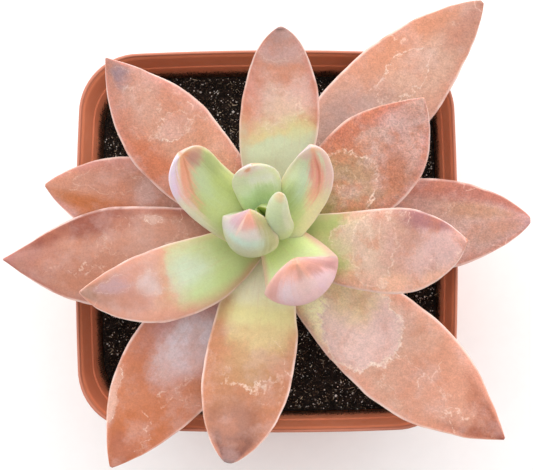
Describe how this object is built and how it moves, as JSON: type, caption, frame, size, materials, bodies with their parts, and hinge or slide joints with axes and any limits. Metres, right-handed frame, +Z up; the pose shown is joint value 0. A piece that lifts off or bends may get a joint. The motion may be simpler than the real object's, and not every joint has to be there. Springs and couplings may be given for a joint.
{
  "type": "potted golden sedum",
  "caption": "Succulent with a loose rosette of thick pointed leaves on a short stem, peach-orange outside and green at the heart, in a small square terracotta-coloured plastic pot.",
  "frame": {"origin": "middle of the pot's underside, on the surface it stands on", "axes": "+Z up; +X to the plant's right and +Y to its back as seen in the picture, which looks almost straight down with +Y up the picture"},
  "size_m": [0.0941, 0.0834, 0.1022],
  "materials": {
    "pot": "terracotta-coloured moulded plastic, satin, with a slightly shinier lip",
    "soil": "moist dark brown peat with fine fibres and a few pale grains, dull",
    "stem": "fleshy olive-brown stem with leaf scars, dull",
    "leaf_outer": "fleshy leaf, peach-orange with a pale waxy bloom and a pink-white margin, satin",
    "leaf_middle": "fleshy leaf, yellow-green at the base and peach towards the tip, waxy, satin",
    "leaf_inner": "fleshy young leaf, fresh green with a pink flush at the tip, waxy, satin"
  },
  "bodies": {
    "root": {"pot": "pot", "soil": "soil", "stem": "stem", "bud": "leaf_inner", "leaf_01_left_back": "leaf_outer", "leaf_02_right": "leaf_outer", "leaf_03_front_left": "leaf_outer", "leaf_04_right_back": "leaf_outer", "leaf_05_left": "leaf_outer", "leaf_06_front_right": "leaf_outer", "leaf_07_left_back_top": "leaf_outer", "leaf_08_front": "leaf_middle", "leaf_09_right_back_top": "leaf_middle", "leaf_10_back": "leaf_middle", "leaf_11_left_front": "leaf_middle", "leaf_12_right_top": "leaf_middle", "leaf_13_upright_left": "leaf_inner", "leaf_14_upright_front": "leaf_inner", "leaf_15_upright_back": "leaf_inner", "leaf_16_upright_right": "leaf_inner", "leaf_17_heart_front": "leaf_inner", "leaf_18_heart_right": "leaf_inner"}
  },
  "joints": []
}
